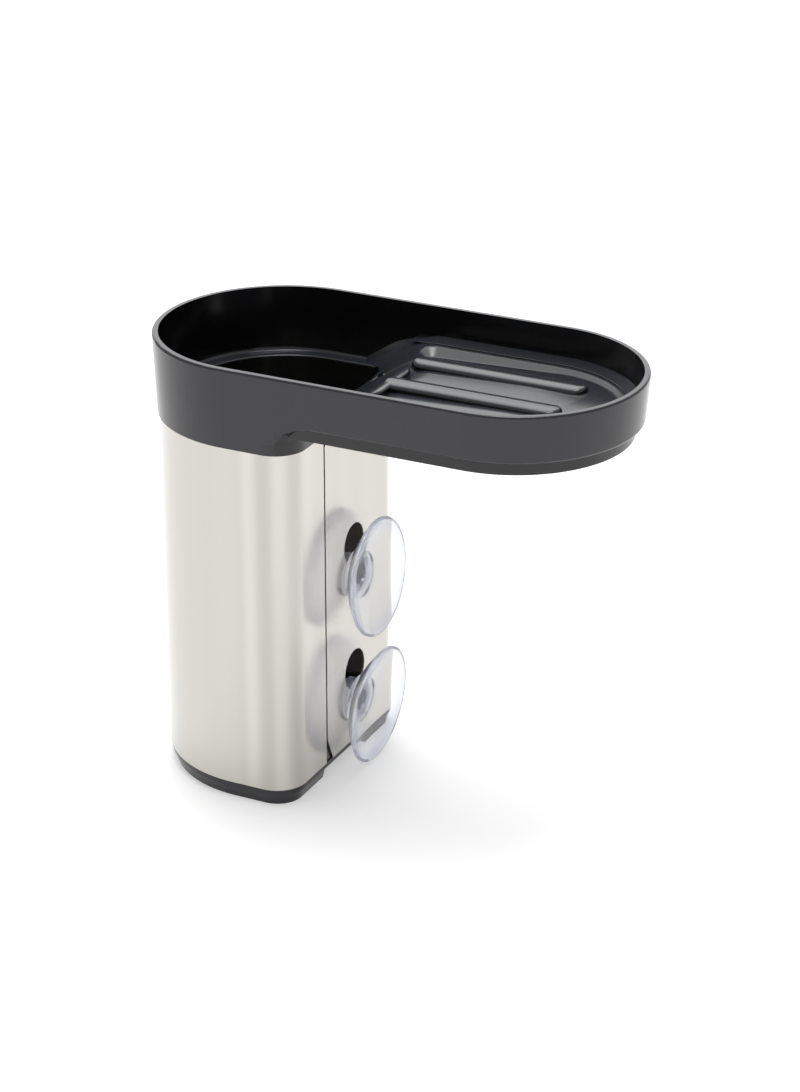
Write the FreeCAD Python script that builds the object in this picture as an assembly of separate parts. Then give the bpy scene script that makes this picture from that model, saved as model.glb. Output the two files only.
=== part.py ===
import FreeCAD, Part
import math
import os

# Sink caddy. A D-shaped steel well for a brush stands in a plastic base cap. A plastic tray sits on top:
# its round end rings the well, and its other end reaches out over the counter as a sponge shelf.
# Two clear suction cups hang in keyhole slots in the well's flat face.
# Millimetres. The origin is on the flat underside, below the centre of the tray's round end.
# +X runs from the round end towards the sponge shelf, and +Z is up.

# Whole object
overall_height = 181.0
rim_radius = 50.0
end_spacing = 98.0
overrun = 4.0

# Tray: the outer wall leans in on its way down, more at the far end. A slope is a plain ratio.
wall_slope = 0.042
end_slope = 0.038
tray_wall = 2.4
lip_round = 0.9
step_depth = 18.8
step_round = 1.2
band_inset = 3.0
band_depth = 24.2
skirt_lap = 3.3
skirt_flat = 2.2
skirt_corner = 12.4
flare_radius = 12.0
flare_sink = 0.4

# Tray: the sponge shelf, the ramp down from it to the ledge round the well, as depths below the rim
shelf_depth = 13.6
shelf_thickness = 2.2
wall_foot = 1.5
ledge_depth = 26.5
ledge_thickness = 2.2
ledge_width = 5.6
ledge_round = 0.7
ramp_foot_x = 24.0
ramp_run = 20.8
ramp_corner = 22.0
ramp_reach = 2.0
ramp_round = 12.0
ramp_wall = 3.4
opening_flat_x = 24.2
opening_corner = 8.0
collar_wall = 2.0
collar_length = 14.0

# Tray: the shallow basin in the shelf falls towards the well, and raised bars keep a sponge out of the wet
basin_margin = 5.2
basin_start_x = 39.0
basin_corner = 9.0
basin_deep = 3.2
basin_shallow = 1.0
basin_side = 6.0
basin_roll = 5.0
basin_foot = 2.5
tongue_end_x = 48.6
tongue_width = 40.0
tongue_corner = 10.0
tongue_round = 1.4
channel_width = 10.5
channel_sink = 2.5
channel_turn = 8.0
channel_round = 3.0
bar_width = 10.5
bar_pitch = 25.0
bar_start_x = 43.6
bar_end_x = 116.5
bar_rise = 0.4
bar_crown = 13.0
bar_round = 2.0
bar_count = 3

# Steel shell: one bent sheet with an open seam and two keyhole slots in its flat face
shell_radius = 47.6
shell_flat_x = 26.3
shell_corner = 12.4
sheet = 0.6
seam_y = -16.9
seam_gap = 1.0
relief_width = 4.5
relief_height = 10.0
keyhole_y = 7.6
entry_radius = 8.4
slot_radius = 4.8
slot_travel = 12.8
lower_cup_z = 25.0
cup_pitch = 55.0

# Base cap: a shallow dish that plugs into the shell's foot, with a finger recess under the flat face
base_height = 7.0
flange_thickness = 2.0
flange_inset = 0.4
dish_inset = 1.0
foot_inset = 2.2
base_wall = 2.2
base_floor = 2.0
plug_length = 8.0
finger_width = 33.8
finger_depth = 5.0
drain_radius = 2.5
drain_centre_x = -14.0
drain_circle = 19.0
drain_count = 6

# Suction cups: sizes along the axis are from the shell's outer face
cup_radius = 24.0
cup_stand = 11.0
cup_edge = 1.2
boss_radius = 9.75
boss_start = 0.8
boss_end = 2.9
neck_radius = 4.3
head_radius = 7.8
head_thickness = 3.6
head_bevel = 1.2
dish_floor = 4.6
dish_floor_radius = 7.0
upper_tilt_degrees = -2.7
lower_tilt_degrees = 3.4

# Fits
socket_gap = 0.3
plug_gap = 0.3
seat_gap = 0.2

# Levels that follow from the sizes above
rim_z = overall_height
skirt_depth = ledge_depth + ledge_thickness + skirt_lap
shelf_z = rim_z - shelf_depth
ledge_z = rim_z - ledge_depth
shelf_rise = ledge_depth - shelf_depth
shell_bottom_z = base_height
shell_top_z = rim_z - ledge_depth - ledge_thickness - seat_gap
upper_cup_z = lower_cup_z + cup_pitch
plan_reach = end_spacing + rim_radius + overrun


def vector(x, y, z):
    return FreeCAD.Vector(x, y, z)


def dee_wire(centre_x, radius, flat_x, corner, z):
    """D outline: a half circle about (centre_x, 0), two straight sides and a flat end with round corners."""
    side = math.copysign(1, flat_x - centre_x)
    straight_x = flat_x - side * corner
    inner_y = radius - corner
    bulge = corner * math.sqrt(0.5)
    low_corner = vector(straight_x + side * bulge, -inner_y - bulge, z)
    high_corner = vector(straight_x + side * bulge, inner_y + bulge, z)
    round_low = vector(centre_x, -radius, z)
    round_high = vector(centre_x, radius, z)
    side_low = vector(straight_x, -radius, z)
    side_high = vector(straight_x, radius, z)
    flat_low = vector(flat_x, -inner_y, z)
    flat_high = vector(flat_x, inner_y, z)
    curves = [
        Part.Arc(round_high, vector(centre_x - side * radius, 0, z), round_low),
        Part.LineSegment(round_low, side_low),
        Part.Arc(side_low, low_corner, flat_low),
        Part.LineSegment(flat_low, flat_high),
        Part.Arc(flat_high, high_corner, side_high),
        Part.LineSegment(side_high, round_high),
    ]
    return Part.Wire([curve.toShape() for curve in curves])


def stadium_wire(start_x, end_x, radius, z):
    """Outline with two half circles about (start_x, 0) and (end_x, 0), joined by straight sides."""
    start_low = vector(start_x, -radius, z)
    start_high = vector(start_x, radius, z)
    end_low = vector(end_x, -radius, z)
    end_high = vector(end_x, radius, z)
    curves = [
        Part.Arc(start_high, vector(start_x - radius, 0, z), start_low),
        Part.LineSegment(start_low, end_low),
        Part.Arc(end_low, vector(end_x + radius, 0, z), end_high),
        Part.LineSegment(end_high, start_high),
    ]
    return Part.Wire([curve.toShape() for curve in curves])


def upright(wire, height):
    """Straight prism on a flat wire, up by the height given."""
    return Part.Face(wire).extrude(vector(0, 0, height))


def drafted(low_wire, high_wire):
    """Solid with plane ends whose side runs straight from one outline to the other."""
    return Part.makeLoft([low_wire, high_wire], True, True)


def slab(low, high):
    """Box between two corners."""
    return Part.makeBox(high.x - low.x, high.y - low.y, high.z - low.z, low)


def is_upright(edge):
    """Whether an edge runs straight up."""
    return edge.BoundBox.XLength + edge.BoundBox.YLength < overrun / overall_height


def edges_at(solid, z):
    """Edges of a solid that lie in the level plane at z."""
    tolerance = overrun / overall_height
    return [edge for edge in solid.Edges
            if abs(edge.BoundBox.ZMin - z) < tolerance and abs(edge.BoundBox.ZMax - z) < tolerance]


def brink(solid, z):
    """Edges in the level plane at z that don't touch the solid's own outer box."""
    box = solid.BoundBox
    return [edge for edge in edges_at(solid, z)
            if edge.BoundBox.XMin > box.XMin and edge.BoundBox.XMax < box.XMax
            and edge.BoundBox.YMin > box.YMin and edge.BoundBox.YMax < box.YMax]


def shell_outline(offset, z):
    """The shell's outer D, offset outwards."""
    return dee_wire(0, shell_radius + offset, shell_flat_x + offset, shell_corner + offset, z)


def tray_outline(depth, inset):
    """The tray's outer outline at a depth below the rim, inset by a wall or a step."""
    radius = rim_radius - wall_slope * depth - inset
    return stadium_wire(0, end_spacing - end_slope * depth, radius, rim_z - depth)


def skirt_outline(depth):
    """The D-shaped skirt that the round end becomes below the shelf."""
    radius = rim_radius - wall_slope * depth
    return dee_wire(0, radius, shell_flat_x + skirt_flat, skirt_corner, rim_z - depth)


def skirt_flare(side):
    """One corner of the skirt as a turned horn, which flares up into the foot of the wall."""
    low_z = rim_z - step_depth - flare_radius
    ceiling_z = rim_z - step_depth
    top_z = ceiling_z + step_round
    start = skirt_corner - flare_sink
    reach = start + flare_radius
    bulge = flare_radius * (1 - math.sqrt(0.5))
    curves = [
        Part.LineSegment(vector(0, 0, low_z), vector(start, 0, low_z)),
        Part.Arc(vector(start, 0, low_z), vector(start + bulge, 0, ceiling_z - bulge),
                 vector(reach, 0, ceiling_z)),
        Part.LineSegment(vector(reach, 0, ceiling_z), vector(reach, 0, top_z)),
        Part.LineSegment(vector(reach, 0, top_z), vector(0, 0, top_z)),
        Part.LineSegment(vector(0, 0, top_z), vector(0, 0, low_z)),
    ]
    section = Part.Face(Part.Wire([curve.toShape() for curve in curves]))
    horn = section.revolve(vector(0, 0, 0), vector(0, 0, 1), 360)
    corner_y = rim_radius - wall_slope * (step_depth + flare_radius) - skirt_corner
    horn = horn.translated(vector(shell_flat_x + skirt_flat - skirt_corner, side * corner_y, 0))
    return horn.common(drafted(tray_outline(skirt_depth, 0), tray_outline(step_depth - step_round, 0)))


def tray_outside():
    """Solid body of the tray: wall, inset band under the shelf, and skirt round the shell's top."""
    wall = drafted(tray_outline(step_depth, 0), tray_outline(0, 0))
    wall = wall.makeFillet(step_round, edges_at(wall, rim_z - step_depth))
    band = drafted(tray_outline(band_depth, band_inset), tray_outline(step_depth - step_round, band_inset))
    skirt = drafted(skirt_outline(skirt_depth), skirt_outline(step_depth - step_round))
    flares = [skirt_flare(side) for side in (-1, 1)]
    return wall.fuse([band, skirt] + flares).removeSplitter()


def ramp_hole(set_back, depth):
    """D prism that leans as the ramp does, from a depth below the rim up to the shelf."""
    radius = rim_radius - wall_slope * ledge_depth - tray_wall + ramp_reach
    lean = ramp_run / shelf_rise
    foot_x = ramp_foot_x + set_back - lean * (depth - ledge_depth)
    corner = min(ramp_corner, ramp_foot_x - ramp_reach / 2)
    wire = dee_wire(0, radius, foot_x, corner, rim_z - depth)
    rise = depth - shelf_depth
    return Part.Face(wire).extrude(vector(lean * rise, 0, rise))


def ramp_block():
    """Slab as high as the shelf stands over the ledge, with the leaning D hole and a round shoulder."""
    block = slab(vector(-plan_reach, -plan_reach, ledge_z), vector(plan_reach, plan_reach, shelf_z))
    block = block.cut(ramp_hole(0, ledge_depth))
    return block.makeFillet(ramp_round, brink(block, shelf_z))


def wall_gap(place):
    """How far a place lies inside the wall's inner face."""
    depth = rim_z - place.z
    far_x = end_spacing - end_slope * depth
    past_end = min(place.x, 0) + max(place.x - far_x, 0)
    return rim_radius - wall_slope * depth - tray_wall - math.hypot(past_end, place.y)


def runs_along_wall(edge):
    """Whether an edge follows the wall's inner face."""
    tolerance = overrun / overall_height
    places = [vertex.Point for vertex in edge.Vertexes]
    places.append(edge.valueAt((edge.FirstParameter + edge.LastParameter) / 2))
    return all(abs(wall_gap(place)) < tolerance for place in places)


def tray_hollow():
    """Space inside the tray's wall: down to the shelf at one end and to the ledge at the other."""
    over_ledge = drafted(tray_outline(ledge_depth, tray_wall), tray_outline(-overrun, tray_wall))
    hollow = over_ledge.cut(ramp_block())
    foot = [edge for edge in edges_at(hollow, ledge_z) if runs_along_wall(edge)]
    return hollow.makeFillet(wall_foot, foot)


def basin_floor_z(x):
    """Level of the basin's floor, which falls evenly towards the well."""
    far_x = end_spacing + rim_radius
    fall = (basin_deep - basin_shallow) / (far_x - basin_start_x)
    return shelf_z - basin_deep + fall * (x - basin_start_x)


def basin_bowl():
    """Bowl with leaning sides, a sloping floor and a round foot where they meet."""
    rim = rim_radius - wall_slope * shelf_depth - tray_wall - basin_margin
    centre_x = end_spacing - end_slope * shelf_depth
    low_z = shelf_z - basin_deep
    bowl = drafted(dee_wire(centre_x, rim - basin_side, basin_start_x + basin_side,
                            basin_corner - basin_side, low_z),
                   dee_wire(centre_x, rim, basin_start_x, basin_corner, shelf_z))
    far_x = end_spacing + rim_radius
    section = Part.makePolygon([
        vector(basin_start_x, -rim, basin_floor_z(basin_start_x)),
        vector(far_x, -rim, basin_floor_z(far_x)),
        vector(far_x, -rim, shelf_z),
        vector(basin_start_x, -rim, shelf_z),
        vector(basin_start_x, -rim, basin_floor_z(basin_start_x)),
    ])
    bowl = bowl.common(Part.Face(section).extrude(vector(0, 2 * rim, 0)))
    foot = [edge for edge in bowl.Edges if lies_on_floor(edge)]
    return bowl.makeFillet(basin_foot, foot)


def lies_on_floor(edge):
    """Whether an edge of the bowl lies in the basin's sloping floor."""
    tolerance = overrun / overall_height
    places = [vertex.Point for vertex in edge.Vertexes]
    places.append(edge.valueAt((edge.FirstParameter + edge.LastParameter) / 2))
    return all(abs(place.z - basin_floor_z(place.x)) < tolerance for place in places)


def basin():
    """Basin cutter: the bowl with its brim rolled over into the shelf."""
    low = vector(ramp_foot_x, -rim_radius, shelf_z - 2 * basin_deep)
    high = vector(end_spacing + rim_radius, rim_radius, shelf_z)
    block = slab(low, high).cut(basin_bowl())
    block = block.makeFillet(basin_roll, brink(block, shelf_z)).fuse(land())
    return slab(low, high).cut(block)


def land():
    """Land between the outer bars: the shelf's level reaches out into the basin, with round corners."""
    low_z = shelf_z - basin_deep - shelf_thickness / 2
    side_y = tongue_width / 2
    body = slab(vector(ramp_foot_x, -side_y, low_z), vector(tongue_end_x, side_y, shelf_z))
    corners = [edge for edge in body.Edges if is_upright(edge) and edge.BoundBox.XMin > ramp_foot_x]
    body = body.makeFillet(tongue_corner, corners)
    rim = [edge for edge in edges_at(body, shelf_z) if edge.BoundBox.XMax > ramp_foot_x + tongue_round]
    return body.makeFillet(tongue_round, rim)


def bar(centre_y):
    """Raised bar with round ends, a crowned top and a rounded shoulder."""
    end_radius = bar_width / 2
    low_z = shelf_z - basin_deep - shelf_thickness / 2
    high_z = shelf_z + bar_rise
    solid = upright(stadium_wire(bar_start_x + end_radius, bar_end_x - end_radius, end_radius, low_z),
                    high_z - low_z)
    crown = Part.makeCylinder(bar_crown, bar_end_x - bar_start_x,
                              vector(bar_start_x, 0, high_z - bar_crown), vector(1, 0, 0))
    solid = solid.common(crown)
    shoulder = [edge for edge in solid.Edges if edge.BoundBox.ZMin > shelf_z - basin_deep
                and not is_upright(edge)]
    solid = solid.makeFillet(bar_round, shoulder)
    return solid.translated(vector(0, centre_y, 0))


def channel(centre_y):
    """Drain from the basin over the shoulder and down the ramp, beside the land between the outer bars."""
    floor_z = shelf_z - basin_deep
    foot_x = ramp_foot_x + ramp_round * math.tan(math.atan(shelf_rise / ramp_run) / 2)
    turn_x = ramp_foot_x + ramp_run * (floor_z - ledge_z) / shelf_rise + channel_sink
    end_x = turn_x + basin_side
    low_y = centre_y - channel_width / 2
    section = Part.makePolygon([
        vector(end_x, low_y, floor_z),
        vector(end_x, low_y, shelf_z + overrun),
        vector(foot_x, low_y, shelf_z + overrun),
        vector(foot_x, low_y, ledge_z),
        vector(turn_x, low_y, floor_z),
        vector(end_x, low_y, floor_z),
    ])
    cutter = Part.Face(section).extrude(vector(0, channel_width, 0))
    tolerance = overrun / overall_height
    turn = [edge for edge in cutter.Edges
            if edge.BoundBox.YLength > channel_width / 2 and abs(edge.BoundBox.XMin - turn_x) < tolerance]
    cutter = cutter.makeFillet(channel_turn, turn)
    floor = [edge for edge in cutter.Edges
             if edge.BoundBox.YLength < channel_width / 2 and edge.BoundBox.XLength > tolerance
             and edge.BoundBox.ZMax < floor_z + tolerance]
    return cutter.makeFillet(channel_round, floor)


def shelf_recess():
    """Hollow under the shelf, inside the band."""
    top_z = rim_z - shelf_depth - basin_deep - shelf_thickness
    low_z = rim_z - band_depth
    inset = band_inset + tray_wall
    whole = drafted(tray_outline(band_depth, inset), tray_outline(rim_z - top_z, inset))
    low_end = upright(tray_outline(band_depth, inset), -overrun)
    ahead = slab(vector(ramp_foot_x, -plan_reach, low_z - overrun), vector(plan_reach, plan_reach, top_z))
    set_back = ramp_wall * math.hypot(ramp_run, shelf_rise) / shelf_rise
    skirt = drafted(skirt_outline(skirt_depth), skirt_outline(shelf_depth))
    return whole.fuse(low_end).common(ahead).cut([ramp_hole(set_back, band_depth + overrun), skirt])


def well_opening():
    """Cutter for the well's mouth in the ledge, whose upper edge is rounded."""
    low_z = ledge_z - ledge_thickness
    radius = rim_radius - wall_slope * ledge_depth - tray_wall - ledge_width
    straight = upright(dee_wire(0, radius, opening_flat_x, opening_corner, low_z - overrun),
                       ledge_thickness + 2 * overrun)
    plate = slab(vector(-rim_radius, -rim_radius, low_z), vector(rim_radius, rim_radius, ledge_z))
    rounded = plate.cut(straight)
    rounded = rounded.makeFillet(ledge_round, brink(rounded, ledge_z))
    return straight.fuse(plate.cut(rounded))


def well_collar():
    """Ring that hangs from the ledge into the shell, less the well's own opening."""
    top_z = rim_z - ledge_depth - ledge_thickness
    outer = -sheet - socket_gap
    inner = outer - collar_wall
    ring = upright(shell_outline(outer, top_z - collar_length), collar_length)
    return ring.cut(upright(shell_outline(inner, top_z - collar_length), collar_length))


def bar_places():
    """Places of the bars across the shelf, evenly spaced about the middle."""
    return [(index - (bar_count - 1) / 2) * bar_pitch for index in range(bar_count)]


def tray():
    """The whole moulding: one piece from rim to collar."""
    body = tray_outside().cut([tray_hollow(), basin()])
    socket_top_z = rim_z - ledge_depth - ledge_thickness
    socket = upright(shell_outline(socket_gap, rim_z - skirt_depth - overrun),
                     socket_top_z - rim_z + skirt_depth + overrun)
    body = body.cut([socket, well_opening(), shelf_recess()])
    places = bar_places()
    body = body.cut([channel(y) for y in (places[0], places[-1])])
    body = body.fuse([bar(y) for y in places] + [well_collar()]).removeSplitter()
    lip = [edge for edge in edges_at(body, rim_z) if not runs_along_wall(edge)]
    return body.makeFillet(lip_round, lip)


def keyhole(slot_z):
    """Keyhole cutter: a round entry above a slot whose round lower end is centred at slot_z."""
    start_x = shell_flat_x - sheet - overrun
    length = sheet + 2 * overrun
    along = vector(1, 0, 0)
    entry = Part.makeCylinder(entry_radius, length, vector(start_x, keyhole_y, slot_z + slot_travel), along)
    end = Part.makeCylinder(slot_radius, length, vector(start_x, keyhole_y, slot_z), along)
    slot = slab(vector(start_x, keyhole_y - slot_radius, slot_z),
                vector(start_x + length, keyhole_y + slot_radius, slot_z + slot_travel))
    return entry.fuse([end, slot])


def seam_relief(end_z, inward):
    """Corner cut off the sheet beside the seam at one end. Inward is 1 at the foot and -1 at the top."""
    edge_y = seam_y + seam_gap / 2
    start_x = shell_flat_x - sheet - overrun
    outside_z = end_z - inward * overrun
    corner = Part.makePolygon([
        vector(start_x, edge_y - seam_gap / 2, outside_z),
        vector(start_x, edge_y + relief_width, outside_z),
        vector(start_x, edge_y + relief_width, end_z),
        vector(start_x, edge_y, end_z + inward * relief_height),
        vector(start_x, edge_y - seam_gap / 2, end_z + inward * relief_height),
        vector(start_x, edge_y - seam_gap / 2, outside_z),
    ])
    return Part.Face(corner).extrude(vector(sheet + 2 * overrun, 0, 0))


def steel_shell():
    """Bent sheet with its seam, the corners cut back at both ends of the seam, and two keyholes."""
    height = shell_top_z - shell_bottom_z
    body = upright(shell_outline(0, shell_bottom_z), height)
    body = body.cut(upright(shell_outline(-sheet, shell_bottom_z), height))
    seam = slab(vector(shell_flat_x - sheet - overrun, seam_y - seam_gap / 2, shell_bottom_z - overrun),
                vector(shell_flat_x + overrun, seam_y + seam_gap / 2, shell_top_z + overrun))
    cuts = [seam, seam_relief(shell_bottom_z, 1), seam_relief(shell_top_z, -1)]
    cuts += [keyhole(slot_z) for slot_z in (lower_cup_z, upper_cup_z)]
    return body.cut(cuts)


def base_cap():
    """Dish under the shell, with a flange that the sheet stands on and a plug inside the sheet."""
    flange_top_z = shell_bottom_z - seat_gap
    flange_low_z = flange_top_z - flange_thickness
    flange = upright(shell_outline(-flange_inset, flange_low_z), flange_thickness)
    dish = drafted(shell_outline(-foot_inset, 0), shell_outline(-dish_inset, flange_low_z))
    plug_inset = sheet + plug_gap
    plug = upright(shell_outline(-plug_inset, flange_top_z), plug_length + seat_gap)
    body = flange.fuse([dish, plug])
    finger = slab(vector(shell_flat_x - dish_inset - finger_depth, -finger_width / 2, -overrun),
                  vector(shell_flat_x + overrun, finger_width / 2, flange_low_z))
    plug_bore = upright(shell_outline(-plug_inset - base_wall, flange_top_z), plug_length + overrun)
    well_radius = shell_radius - plug_inset - base_wall
    well_flat_x = shell_flat_x - dish_inset - finger_depth - base_wall
    well = upright(dee_wire(0, well_radius, well_flat_x, shell_corner, base_floor), flange_top_z - base_floor)
    middle = Part.makeCylinder(drain_radius, base_floor + 2 * overrun, vector(drain_centre_x, 0, -overrun))
    drains = [middle]
    for index in range(drain_count):
        angle = 2 * math.pi * index / drain_count
        place = vector(drain_circle * math.cos(angle), drain_circle * math.sin(angle), 0)
        drains.append(middle.translated(place))
    return body.cut([finger, plug_bore, well] + drains).removeSplitter()


def sphere_arc(start, end):
    """Arc between two places of a turned profile, centred on the axis, so that it sweeps part of a sphere."""
    centre_x = (end.x ** 2 + end.z ** 2 - start.x ** 2 - start.z ** 2) / (2 * (end.x - start.x))
    radius = math.hypot(start.x - centre_x, start.z)
    middle_z = (start.z + end.z) / 2
    middle_x = centre_x - math.sqrt(radius ** 2 - middle_z ** 2)
    return Part.Arc(start, vector(middle_x, 0, middle_z), end)


def suction_cup(neck_z, tilt_degrees):
    """Clear cup turned about its axis: mushroom head, neck, boss, and a dish that opens along +X."""
    head_face = -sheet - boss_start
    head_back = head_face - head_thickness
    rim_back = cup_stand - cup_edge / 2
    rim_inner = cup_radius - cup_edge
    curves = [
        Part.LineSegment(vector(head_back, 0, 0), vector(head_back, 0, head_radius - head_bevel)),
        Part.LineSegment(vector(head_back, 0, head_radius - head_bevel),
                         vector(head_back + head_bevel, 0, head_radius)),
        Part.LineSegment(vector(head_back + head_bevel, 0, head_radius), vector(head_face, 0, head_radius)),
        Part.LineSegment(vector(head_face, 0, head_radius), vector(head_face, 0, neck_radius)),
        Part.LineSegment(vector(head_face, 0, neck_radius), vector(boss_start, 0, neck_radius)),
        Part.LineSegment(vector(boss_start, 0, neck_radius), vector(boss_start, 0, boss_radius)),
        Part.LineSegment(vector(boss_start, 0, boss_radius), vector(boss_end, 0, boss_radius)),
        sphere_arc(vector(boss_end, 0, boss_radius), vector(rim_back, 0, cup_radius)),
        Part.LineSegment(vector(rim_back, 0, cup_radius), vector(cup_stand, 0, cup_radius)),
        Part.LineSegment(vector(cup_stand, 0, cup_radius), vector(cup_stand, 0, rim_inner)),
        sphere_arc(vector(cup_stand, 0, rim_inner), vector(dish_floor, 0, dish_floor_radius)),
        Part.LineSegment(vector(dish_floor, 0, dish_floor_radius), vector(dish_floor, 0, 0)),
        Part.LineSegment(vector(dish_floor, 0, 0), vector(head_back, 0, 0)),
    ]
    section = Part.Face(Part.Wire([curve.toShape() for curve in curves]))
    cup = section.revolve(vector(0, 0, 0), vector(1, 0, 0), 360)
    cup.rotate(vector(0, 0, 0), vector(0, 1, 0), tilt_degrees)
    return cup.translated(vector(shell_flat_x, keyhole_y, neck_z))


def main():
    os.makedirs("parts", exist_ok=True)
    pieces = {
        "tray": tray(),
        "steel_shell": steel_shell(),
        "base_cap": base_cap(),
        "suction_cup_upper": suction_cup(upper_cup_z, upper_tilt_degrees),
        "suction_cup_lower": suction_cup(lower_cup_z, lower_tilt_degrees),
    }
    for name, shape in pieces.items():
        shape.exportStep(os.path.join("parts", name + ".step"))
        box = shape.BoundBox
        print(name, shape.isValid(), len(shape.Solids), "solid, volume", round(shape.Volume), "mm3,",
              "box", [round(v, 1) for v in (box.XMin, box.YMin, box.ZMin, box.XMax, box.YMax, box.ZMax)])


main()
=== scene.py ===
import math

import bmesh
import bpy
import numpy as np
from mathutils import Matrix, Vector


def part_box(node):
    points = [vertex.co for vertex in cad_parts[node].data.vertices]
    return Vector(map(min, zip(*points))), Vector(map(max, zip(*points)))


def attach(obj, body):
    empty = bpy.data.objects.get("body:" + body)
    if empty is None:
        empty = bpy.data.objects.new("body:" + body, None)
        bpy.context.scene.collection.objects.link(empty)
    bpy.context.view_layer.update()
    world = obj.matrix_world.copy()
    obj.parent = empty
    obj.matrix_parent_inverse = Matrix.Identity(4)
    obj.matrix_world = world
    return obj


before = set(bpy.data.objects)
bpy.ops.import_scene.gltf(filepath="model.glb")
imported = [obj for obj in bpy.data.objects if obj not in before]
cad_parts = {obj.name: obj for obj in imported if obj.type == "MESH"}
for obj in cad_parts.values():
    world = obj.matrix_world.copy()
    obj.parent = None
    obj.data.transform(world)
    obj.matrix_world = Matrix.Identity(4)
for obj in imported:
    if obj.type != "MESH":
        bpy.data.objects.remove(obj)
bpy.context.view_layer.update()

# Lengths are metres. MM turns a size in millimetres into metres.
MM = 0.001

# Camera: where the photograph was taken from, in the caddy's own frame
CAMERA_PLACE = np.array([533.73, -987.99, 590.39]) * MM
CAMERA_TURN_DEGREES = 26.08
CAMERA_TILT_DEGREES = 24.06
CAMERA_LENS_MM = 102.63
SENSOR_MM = 36.0

# Light: a level all round, and soft boxes as direction, inner and outer half angle in degrees, and strength
SKY_LEVEL = 0.52
SOFT_BOXES = [
    ((-0.40, 0.82, 0.41), 12, 40, 1.30),
    ((-0.23, 0.48, 0.85), 10, 34, 2.2),
    ((-0.03, 0.06, 0.99), 7, 14, 10.0),
]

# Floor: its plain grey, how much it glows where it is seen, and how far it reaches from the middle
FLOOR_COLOUR = 0.72
FLOOR_GLOW = 0.42
FLOOR_REACH = 6.0

# Tray sizes that its finish and the added forms follow
RIM_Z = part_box("tray")[1].z
TRAY_RADIUS = 50.0 * MM
TRAY_SPACING = 98.0 * MM
WALL_SLOPE = 0.042
HALF_WALL = 1.2 * MM
INNER_RADIUS = 47.03 * MM
SHELF_END_X = 97.48 * MM
SHELF_Z = RIM_Z - 13.6 * MM

# Steel: fine scratches, broad streaks and clouds, each as a size, a detail and a stretch along X, Y and Z
STEEL_SCRATCHES = (0.45 * MM, 4.0, (1.0, 1.0, 0.010))
STEEL_STREAKS = (14.0 * MM, 1.0, (1.0, 1.0, 0.02))
STEEL_CLOUDS = (30.0 * MM, 2.0, (1.0, 1.0, 0.3))

# Steel: its darkest and lightest colour, and how much each pattern moves the tone between them; the bands
# are a painted reflection
STEEL_DARK = (0.455, 0.442, 0.408, 1.0)
STEEL_LIGHT = (0.585, 0.571, 0.532, 1.0)
TONE_START = 0.325
TONE_BY_SCRATCHES = 0.10
TONE_BY_STREAKS = 0.25
TONE_BY_PAINTED_BANDS = 0.30

# Steel: roughness of the outer and the inner face, and how much each pattern adds to it
STEEL_OUTER_ROUGHNESS = 0.14
STEEL_INNER_ROUGHNESS = 0.50
INNER_FACE_BLUR = 1.0 * MM
ROUGHNESS_BY_SCRATCHES = 0.10
ROUGHNESS_BY_CLOUDS = 0.05
SCRATCH_DEPTH = 0.004 * MM
SCRATCH_STRENGTH = 0.2

# Painted reflection bands in the steel, light and dark upright stripes beside the front corner: a plain
# direction across them (the camera's right), one crest, the pitch, and where they fade in and out
PAINTED_BAND_DIRECTION = (0.898, 0.440, 0.0)
PAINTED_BAND_CENTRE = -0.5 * MM
PAINTED_BAND_PITCH = 11.9 * MM
PAINTED_BAND_START = (-19.0 * MM, -12.0 * MM)
PAINTED_BAND_END = (8.0 * MM, 14.0 * MM)

# Plastic: colour of the outside, and inside a painted shade for upright faces and a painted light for level
# faces
PLASTIC_OUTSIDE = (0.0225, 0.0215, 0.0265, 1.0)
PLASTIC_INSIDE_PAINTED_SHADE = (0.004, 0.004, 0.0045, 1.0)
PLASTIC_INSIDE_PAINTED_LIGHT = (0.026, 0.029, 0.037, 1.0)

# Plastic: how level a face is by its normal's Z, which moves the inside from painted shade to painted
# light, the soft edge at the wall's middle, gloss and mould grain
PAINTED_LIGHT_FROM = 0.3
PAINTED_LIGHT_TO = 0.8
WALL_MIDDLE_BLUR = 0.3 * MM
PLASTIC_INNER_ROUGHNESS = 0.17
PLASTIC_OUTER_ROUGHNESS = 0.16
PLASTIC_IOR = 1.5
GRAIN = (0.35 * MM, 2.0)
GRAIN_DEPTH = 0.004 * MM
GRAIN_STRENGTH = 0.3

# Vinyl: colours of the boss, of the thin dish, and where the vinyl looks thick
VINYL_BOSS = (0.62, 0.66, 0.78, 1.0)
VINYL_DISH = (0.975, 0.98, 1.0, 1.0)
VINYL_THICK = (0.81, 0.835, 1.0, 1.0)

# Vinyl: where the boss ends and the thick rim starts, as distances from the cup's axis
BOSS_FROM = 6.0 * MM
BOSS_TO = 10.0 * MM
RIM_FROM = 17.0 * MM
RIM_TO = 23.5 * MM
RIM_THICKNESS = 0.45

# Vinyl: how a face looks thicker as it turns edge on, how clear it is, and its gloss
EDGE_BLEND = 0.4
EDGE_FROM = 0.25
EDGE_TO = 0.95
VINYL_CLEARNESS_THIN = 0.92
VINYL_CLEARNESS_THICK = 0.58
VINYL_ROUGHNESS = 0.08
VINYL_IOR = 1.30

# Suction cups: how far their axes lie aside, and the level half way between them
CUP_Y = 7.6 * MM
CUP_PITCH = 55.0 * MM
CUPS_MIDDLE_Z = 52.5 * MM

# Added forms: how far they reach into the tray's plastic, and the angle from which an edge shades sharp
SINK = 0.2 * MM
SHARP_DEGREES = 35

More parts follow.
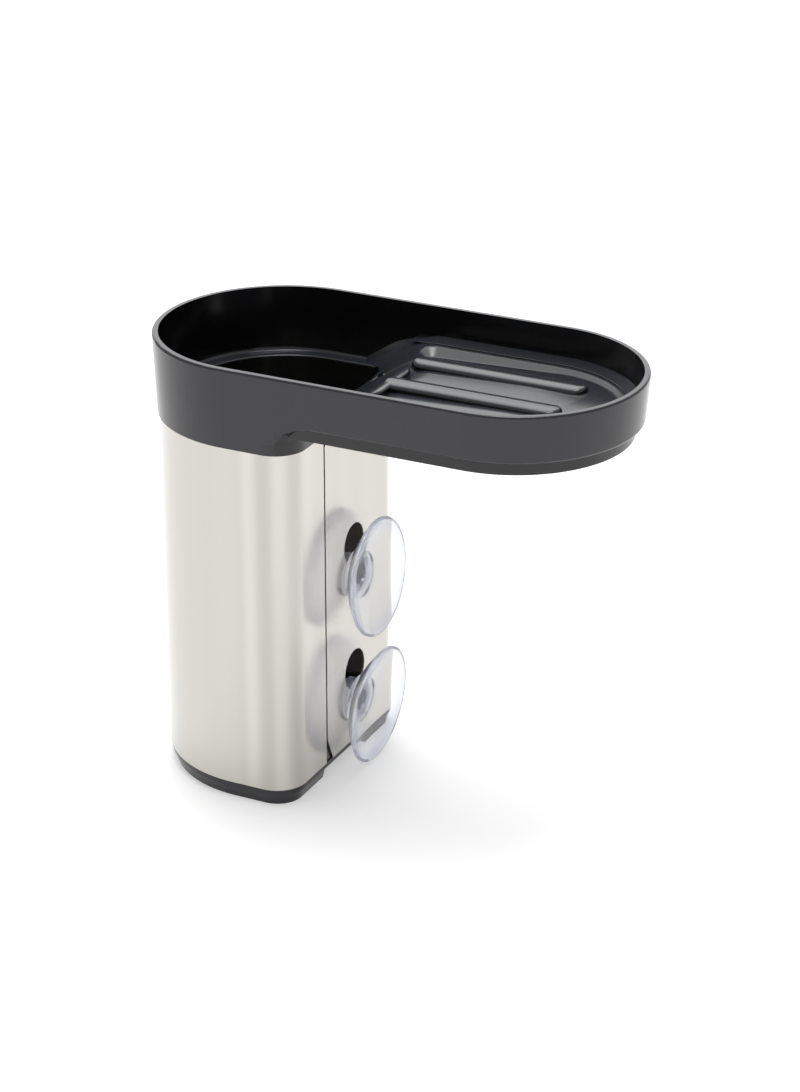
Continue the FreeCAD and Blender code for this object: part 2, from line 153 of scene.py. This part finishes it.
# Foot of the wall on the shelf: a sloping strip that ends in the basin's rolled brim
FOOT_START_X = 34.0 * MM
FOOT_WIDTH = 4.3 * MM
FOOT_RISE = 1.9 * MM
FOOT_BEAD = 0.5 * MM
FOOT_FADE = 12.0 * MM
FOOT_DEPTH = 0.4 * MM
FOOT_STRAIGHT_POINTS = 40
FOOT_TURN_POINTS = 90
FOOT_SLOPE_POINTS = 7
FOOT_BEAD_POINTS = 8

# Floor of the basin between the outer bars: it rises a little to both sides, and dips under at its ends
DISH_START_X = 45.0 * MM
DISH_END_X = 124.0 * MM
DISH_HALF_WIDTH = 20.4 * MM
DISH_SLOPE = 0.04
DISH_START_FADE = 9.0 * MM
DISH_END_FADE = 34.0 * MM
DISH_LIFT = 0.03 * MM
DISH_DIP = 0.12 * MM
DISH_DEPTH = 0.6 * MM
DISH_LENGTH_POINTS = 70
DISH_WIDTH_POINTS = 31
BASIN_START_X = 39.0 * MM
BASIN_DEPTH = 3.2 * MM
BASIN_RISE = 2.2 / 109.0


class Nodes:
    """Short hand for building the nodes and links of one material, or of the world."""

    def __init__(self, owner, output="ShaderNodeOutputMaterial"):
        self.owner = owner
        owner.use_nodes = True
        self.tree = owner.node_tree
        self.tree.nodes.clear()
        self.output = self.tree.nodes.new(output)

    def add(self, kind, **settings):
        """Adds a node. A setting names a property of the node."""
        node = self.tree.nodes.new(kind)
        for key, value in settings.items():
            setattr(node, key, value)
        return node

    def feed(self, socket, value):
        """Links an output into a socket, or sets the socket to a plain value."""
        if isinstance(value, bpy.types.NodeSocket):
            self.tree.links.new(value, socket)
        else:
            socket.default_value = value

    def math(self, operation, *values):
        """One Math node on the values given."""
        node = self.add("ShaderNodeMath", operation=operation)
        for socket, value in zip(node.inputs, values):
            self.feed(socket, value)
        return node.outputs[0]

    def dot(self, first, second):
        """Dot product of two vectors."""
        node = self.add("ShaderNodeVectorMath", operation="DOT_PRODUCT")
        self.feed(node.inputs[0], first)
        self.feed(node.inputs[1], second)
        return node.outputs["Value"]

    def ramp(self, value, low, high, low_out=0.0, high_out=1.0):
        """Smooth step from low_out to high_out as value goes from low to high."""
        node = self.add("ShaderNodeMapRange", interpolation_type="SMOOTHSTEP")
        for socket, item in zip(node.inputs, (value, low, high, low_out, high_out)):
            self.feed(socket, item)
        return node.outputs[0]

    def noise(self, coordinates, size, detail, stretch=(1.0, 1.0, 1.0)):
        """Noise whose features are about size across, longer along an axis with a smaller stretch."""
        mapping = self.add("ShaderNodeMapping")
        self.feed(mapping.inputs["Vector"], coordinates)
        mapping.inputs["Scale"].default_value = [part / size for part in stretch]
        texture = self.add("ShaderNodeTexNoise")
        self.feed(texture.inputs["Vector"], mapping.outputs[0])
        texture.inputs["Scale"].default_value = 1.0
        texture.inputs["Detail"].default_value = detail
        return texture.outputs[0]

    def bump(self, height, distance, strength):
        """Bump of a height from 0 to 1, over a distance in metres."""
        node = self.add("ShaderNodeBump")
        node.inputs["Strength"].default_value = strength
        node.inputs["Distance"].default_value = distance
        self.feed(node.inputs["Height"], height)
        return node.outputs[0]

    def blend(self, share, first, second):
        """Colour that goes from the first to the second as share goes from 0 to 1."""
        node = self.add("ShaderNodeMix", data_type="RGBA")
        for socket, value in zip((node.inputs[0], node.inputs[6], node.inputs[7]), (share, first, second)):
            self.feed(socket, value)
        return node.outputs[2]

    def length(self, first, second):
        """Length of a line from its reach along two directions at right angles."""
        squares = self.math("MULTIPLY_ADD", first, first, self.math("MULTIPLY", second, second))
        return self.math("SQRT", squares)

    def axes(self, vector):
        """X, Y and Z of a vector."""
        node = self.add("ShaderNodeSeparateXYZ")
        self.feed(node.inputs[0], vector)
        return node.outputs

    def principled(self, **inputs):
        """Surface shader, with its sockets set or linked by name. An underscore stands for a space."""
        shader = self.add("ShaderNodeBsdfPrincipled")
        for key, value in inputs.items():
            self.feed(shader.inputs[key.replace("_", " ")], value)
        self.feed(self.output.inputs["Surface"], shader.outputs[0])


def material_nodes(name):
    """Nodes of a new material."""
    return Nodes(bpy.data.materials.new(name))


def brushed_steel():
    """Steel sheet brushed upright, with painted reflection bands beside its front corner and a duller inner
    face.
    """
    nodes = material_nodes("brushed_steel")
    place = nodes.add("ShaderNodeTexCoord").outputs["Object"]
    scratches = nodes.noise(place, *STEEL_SCRATCHES)
    streaks = nodes.noise(place, *STEEL_STREAKS)
    clouds = nodes.noise(place, *STEEL_CLOUDS)
    # Painted reflection: a cosine across the camera's right makes light and dark upright bands in the
    # steel's colour.
    across = nodes.dot(place, PAINTED_BAND_DIRECTION)
    from_crest = nodes.math("SUBTRACT", across, PAINTED_BAND_CENTRE)
    wave = nodes.math("COSINE", nodes.math("MULTIPLY", from_crest, 2 * math.pi / PAINTED_BAND_PITCH))
    near = nodes.math("MULTIPLY", nodes.ramp(across, *PAINTED_BAND_START), nodes.ramp(across, *PAINTED_BAND_END, 1.0, 0.0))
    bands = nodes.math("MULTIPLY", wave, near)
    streaky = nodes.math("MULTIPLY", streaks, TONE_BY_STREAKS)
    tone = nodes.math("MULTIPLY_ADD", scratches, TONE_BY_SCRATCHES, streaky)
    tone = nodes.math("MULTIPLY_ADD", bands, TONE_BY_PAINTED_BANDS, nodes.math("ADD", tone, TONE_START))
    normal = nodes.add("ShaderNodeNewGeometry").outputs["Normal"]
    inside = nodes.ramp(nodes.dot(normal, place), 0.0, INNER_FACE_BLUR, 1.0, 0.0)
    by_face = nodes.ramp(inside, 0.0, 1.0, STEEL_OUTER_ROUGHNESS, STEEL_INNER_ROUGHNESS)
    cloudy = nodes.math("MULTIPLY", clouds, ROUGHNESS_BY_CLOUDS)
    worn = nodes.math("MULTIPLY_ADD", scratches, ROUGHNESS_BY_SCRATCHES, cloudy)
    nodes.principled(
        Base_Color=nodes.blend(nodes.ramp(tone, 0.0, 1.0), STEEL_DARK, STEEL_LIGHT),
        Metallic=1.0,
        Roughness=nodes.math("ADD", worn, by_face),
        Normal=nodes.bump(scratches, SCRATCH_DEPTH, SCRATCH_STRENGTH),
    )
    return nodes.owner


def charcoal_plastic():
    """Moulded charcoal plastic; inside the middle of the tray's wall, upright faces get a painted shade
    that is nearly black, and level faces a lighter painted light.
    """
    nodes = material_nodes("charcoal_plastic")
    place = nodes.add("ShaderNodeTexCoord").outputs["Object"]
    x, y, z = nodes.axes(place)
    past_end = nodes.math("SUBTRACT", x, TRAY_SPACING)
    along = nodes.math("ADD", nodes.math("MINIMUM", x, 0.0), nodes.math("MAXIMUM", past_end, 0.0))
    reach = nodes.length(along, y)
    depth = nodes.math("SUBTRACT", RIM_Z, z)
    wall_middle = nodes.math("SUBTRACT", TRAY_RADIUS - HALF_WALL, nodes.math("MULTIPLY", depth, WALL_SLOPE))
    past_wall = nodes.math("SUBTRACT", reach, wall_middle)
    outside = nodes.ramp(past_wall, -WALL_MIDDLE_BLUR, WALL_MIDDLE_BLUR)
    facing = nodes.axes(nodes.add("ShaderNodeNewGeometry").outputs["Normal"])
    level = nodes.ramp(facing[2], PAINTED_LIGHT_FROM, PAINTED_LIGHT_TO)
    # Painted light and shade inside: upright faces nearly black, level faces lighter and bluish, chosen by
    # the normal's Z.
    inner = nodes.blend(level, PLASTIC_INSIDE_PAINTED_SHADE, PLASTIC_INSIDE_PAINTED_LIGHT)
    nodes.principled(
        Base_Color=nodes.blend(outside, inner, PLASTIC_OUTSIDE),
        Roughness=nodes.ramp(outside, 0.0, 1.0, PLASTIC_INNER_ROUGHNESS, PLASTIC_OUTER_ROUGHNESS),
        IOR=PLASTIC_IOR,
        Normal=nodes.bump(nodes.noise(place, *GRAIN), GRAIN_DEPTH, GRAIN_STRENGTH),
    )
    return nodes.owner


def clear_vinyl():
    """Clear flexible vinyl: milky and pale lavender in the rim and towards edges, greyer in the boss."""
    nodes = material_nodes("clear_vinyl")
    y, z = nodes.axes(nodes.add("ShaderNodeTexCoord").outputs["Object"])[1:]
    aside = nodes.math("SUBTRACT", y, CUP_Y)
    from_middle = nodes.math("ABSOLUTE", nodes.math("SUBTRACT", z, CUPS_MIDDLE_Z))
    above = nodes.math("SUBTRACT", from_middle, CUP_PITCH / 2)
    from_axis = nodes.length(aside, above)
    edge = nodes.add("ShaderNodeLayerWeight")
    edge.inputs["Blend"].default_value = EDGE_BLEND
    rim = nodes.ramp(from_axis, RIM_FROM, RIM_TO, 0.0, RIM_THICKNESS)
    thick = nodes.math("MAXIMUM", rim, nodes.ramp(edge.outputs["Facing"], EDGE_FROM, EDGE_TO))
    thin_colour = nodes.blend(nodes.ramp(from_axis, BOSS_FROM, BOSS_TO), VINYL_BOSS, VINYL_DISH)
    nodes.principled(
        Base_Color=nodes.blend(thick, thin_colour, VINYL_THICK),
        Roughness=VINYL_ROUGHNESS,
        IOR=VINYL_IOR,
        Transmission_Weight=nodes.ramp(thick, 0.0, 1.0, VINYL_CLEARNESS_THIN, VINYL_CLEARNESS_THICK),
    )
    return nodes.owner


def dress(material, *names):
    """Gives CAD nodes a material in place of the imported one."""
    for name in names:
        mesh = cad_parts[name].data
        mesh.materials.clear()
        mesh.materials.append(material)


def fade(distance, length):
    """Smooth step from 0 to 1 as a distance goes from 0 to a length."""
    share = np.clip(distance / length, 0.0, 1.0)
    return share * share * (3 - 2 * share)


def solid_from_rings(name, rings):
    """Closed mesh: each ring of points is joined to the next by quads, and both end rings are capped."""
    count, size = rings.shape[:2]
    ring, spot = np.meshgrid(np.arange(count - 1), np.arange(size), indexing="ij")
    after = (spot + 1) % size
    quads = np.stack([ring * size + spot, ring * size + after,
                      (ring + 1) * size + after, (ring + 1) * size + spot], axis=-1)
    caps = [list(range(size)), list(range((count - 1) * size, count * size))]
    mesh = bpy.data.meshes.new(name)
    mesh.from_pydata(rings.reshape(-1, 3).tolist(), [], quads.reshape(-1, 4).tolist() + caps)
    shell = bmesh.new()
    shell.from_mesh(mesh)
    bmesh.ops.recalc_face_normals(shell, faces=shell.faces)
    shell.to_mesh(mesh)
    shell.free()
    mesh.shade_smooth()
    mesh.set_sharp_from_angle(angle=math.radians(SHARP_DEGREES))
    piece = bpy.data.objects.new(name, mesh)
    bpy.context.scene.collection.objects.link(piece)
    return piece


def shelf_foot():
    """Sloping foot between the tray's wall and the basin's brim.

    The path runs along one straight wall, round the far end by the angle turn, and back along the other.
    At a place on it the section goes inwards by s, at a level of bead + (rise - bead) * (1 - s / width),
    and ends in a quarter round of the bead's radius. The level fades in from both ends of the path.
    """
    straight = np.linspace(0, SHELF_END_X - FOOT_START_X, FOOT_STRAIGHT_POINTS)
    turn = np.linspace(0, np.pi, FOOT_TURN_POINTS)[1:-1]
    round_end = np.full_like(turn, SHELF_END_X)
    centre_x = np.concatenate([FOOT_START_X + straight, round_end, SHELF_END_X - straight])[:, None]
    angle = np.concatenate([np.zeros_like(straight), turn, np.full_like(straight, np.pi)])[:, None]
    from_ends = np.concatenate([straight, np.full_like(turn, straight[-1]), straight[::-1]])[:, None]
    inward = np.linspace(0, 1, FOOT_SLOPE_POINTS)
    bead = np.linspace(0, np.pi / 2, FOOT_BEAD_POINTS)[1:]
    foot_end = FOOT_WIDTH + FOOT_BEAD
    reach = np.concatenate([[-SINK], inward * FOOT_WIDTH,
                            FOOT_WIDTH + FOOT_BEAD * np.sin(bead), [foot_end, -SINK]])
    level = np.concatenate([[FOOT_RISE], FOOT_BEAD + (FOOT_RISE - FOOT_BEAD) * (1 - inward),
                            FOOT_BEAD * np.cos(bead), [-FOOT_DEPTH, -FOOT_DEPTH]])
    shown = fade(from_ends, FOOT_FADE)
    radius = INNER_RADIUS - reach
    rings = np.stack([
        centre_x + np.sin(angle) * radius,
        -np.cos(angle) * radius,
        SHELF_Z + level * shown - SINK * (1 - shown),
    ], axis=-1)
    return solid_from_rings("shelf_foot_round", rings)


def basin_dish():
    """Floor between the outer bars: level = basin floor at x + slope * |y|, faded out at both ends."""
    x = np.linspace(DISH_START_X, DISH_END_X, DISH_LENGTH_POINTS)[:, None]
    y = np.linspace(-DISH_HALF_WIDTH, DISH_HALF_WIDTH, DISH_WIDTH_POINTS)
    floor = SHELF_Z - BASIN_DEPTH + BASIN_RISE * (x - BASIN_START_X)
    shown = fade(x - DISH_START_X, DISH_START_FADE) * fade(DISH_END_X - x, DISH_END_FADE)
    top = floor + DISH_SLOPE * np.abs(y) * shown + DISH_LIFT - DISH_DIP * (1 - shown)
    underside = np.repeat(floor - DISH_DEPTH, 2, axis=1)
    round_y = np.append(y, (y[-1], y[0]))
    round_z = np.concatenate([top, underside], axis=1)
    rings = np.stack(np.broadcast_arrays(x, round_y, round_z), axis=-1)
    return solid_from_rings("basin_dish", rings)


def mould_on_tray(piece, material):
    """Makes a piece one with the tray: same body and same plastic."""
    piece.data.materials.append(material)
    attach(piece, "tray")


def seen_plainly(nodes):
    """1 for rays from the camera, off a gloss or through the vinyl, and 0 for rays that light a surface."""
    path = nodes.add("ShaderNodeLightPath")
    seen = nodes.math("MAXIMUM", path.outputs["Is Camera Ray"], path.outputs["Is Glossy Ray"])
    return nodes.math("MAXIMUM", seen, path.outputs["Is Transmission Ray"])


def studio_floor():
    """Pale floor that the camera sees as white, with the caddy's own soft shadow."""
    corners = [(-FLOOR_REACH, -FLOOR_REACH, 0), (FLOOR_REACH, -FLOOR_REACH, 0),
               (FLOOR_REACH, FLOOR_REACH, 0), (-FLOOR_REACH, FLOOR_REACH, 0)]
    mesh = bpy.data.meshes.new("studio_floor")
    mesh.from_pydata(corners, [], [(0, 1, 2, 3)])
    floor = bpy.data.objects.new("studio_floor", mesh)
    bpy.context.scene.collection.objects.link(floor)
    nodes = material_nodes("studio_floor")
    diffuse = nodes.add("ShaderNodeBsdfDiffuse")
    diffuse.inputs["Color"].default_value = (FLOOR_COLOUR, FLOOR_COLOUR, FLOOR_COLOUR, 1.0)
    glow = nodes.add("ShaderNodeEmission")
    nodes.feed(glow.inputs["Strength"], nodes.math("MULTIPLY", seen_plainly(nodes), FLOOR_GLOW))
    both = nodes.add("ShaderNodeAddShader")
    nodes.feed(both.inputs[0], diffuse.outputs[0])
    nodes.feed(both.inputs[1], glow.outputs[0])
    nodes.feed(nodes.output.inputs["Surface"], both.outputs[0])
    mesh.materials.append(nodes.owner)


def soft_box(nodes, look, direction, inner_degrees, outer_degrees, strength):
    """Round patch of light about a direction, which fades out between two half angles."""
    unit = np.array(direction) / np.linalg.norm(direction)
    edge, core = np.cos(np.radians((outer_degrees, inner_degrees)))
    return nodes.ramp(nodes.dot(look, unit), edge, core, 0.0, strength)


def studio_light():
    """Pale surroundings: a level all round and soft boxes, but white seen straight or through the vinyl."""
    world = bpy.data.worlds.new("studio")
    bpy.context.scene.world = world
    nodes = Nodes(world, "ShaderNodeOutputWorld")
    look = nodes.add("ShaderNodeTexCoord").outputs["Generated"]
    level = SKY_LEVEL
    for box in SOFT_BOXES:
        level = nodes.math("ADD", soft_box(nodes, look, *box), level)
    seen = nodes.add("ShaderNodeMix")
    path = nodes.add("ShaderNodeLightPath")
    through = nodes.math("MAXIMUM", path.outputs["Is Camera Ray"], path.outputs["Is Transmission Ray"])
    nodes.feed(seen.inputs[0], through)
    nodes.feed(seen.inputs[2], level)
    seen.inputs[3].default_value = 1.0
    background = nodes.add("ShaderNodeBackground")
    background.inputs["Color"].default_value = (1.0, 1.0, 1.0, 1.0)
    nodes.feed(background.inputs["Strength"], seen.outputs[0])
    nodes.feed(nodes.output.inputs["Surface"], background.outputs[0])


def camera():
    """Camera at the photograph's place, aimed down and to the left."""
    data = bpy.data.cameras.new("camera")
    data.sensor_width = SENSOR_MM
    data.lens = CAMERA_LENS_MM
    holder = bpy.data.objects.new("camera", data)
    bpy.context.scene.collection.objects.link(holder)
    holder.location = CAMERA_PLACE
    holder.rotation_euler = (math.radians(90 - CAMERA_TILT_DEGREES), 0, math.radians(CAMERA_TURN_DEGREES))
    bpy.context.scene.camera = holder


plastic = charcoal_plastic()
dress(plastic, "tray", "base_cap")
mould_on_tray(shelf_foot(), plastic)
mould_on_tray(basin_dish(), plastic)
dress(brushed_steel(), "steel_shell")
dress(clear_vinyl(), "suction_cup_upper", "suction_cup_lower")
studio_floor()
studio_light()
camera()
bpy.context.scene.view_settings.view_transform = "Standard"
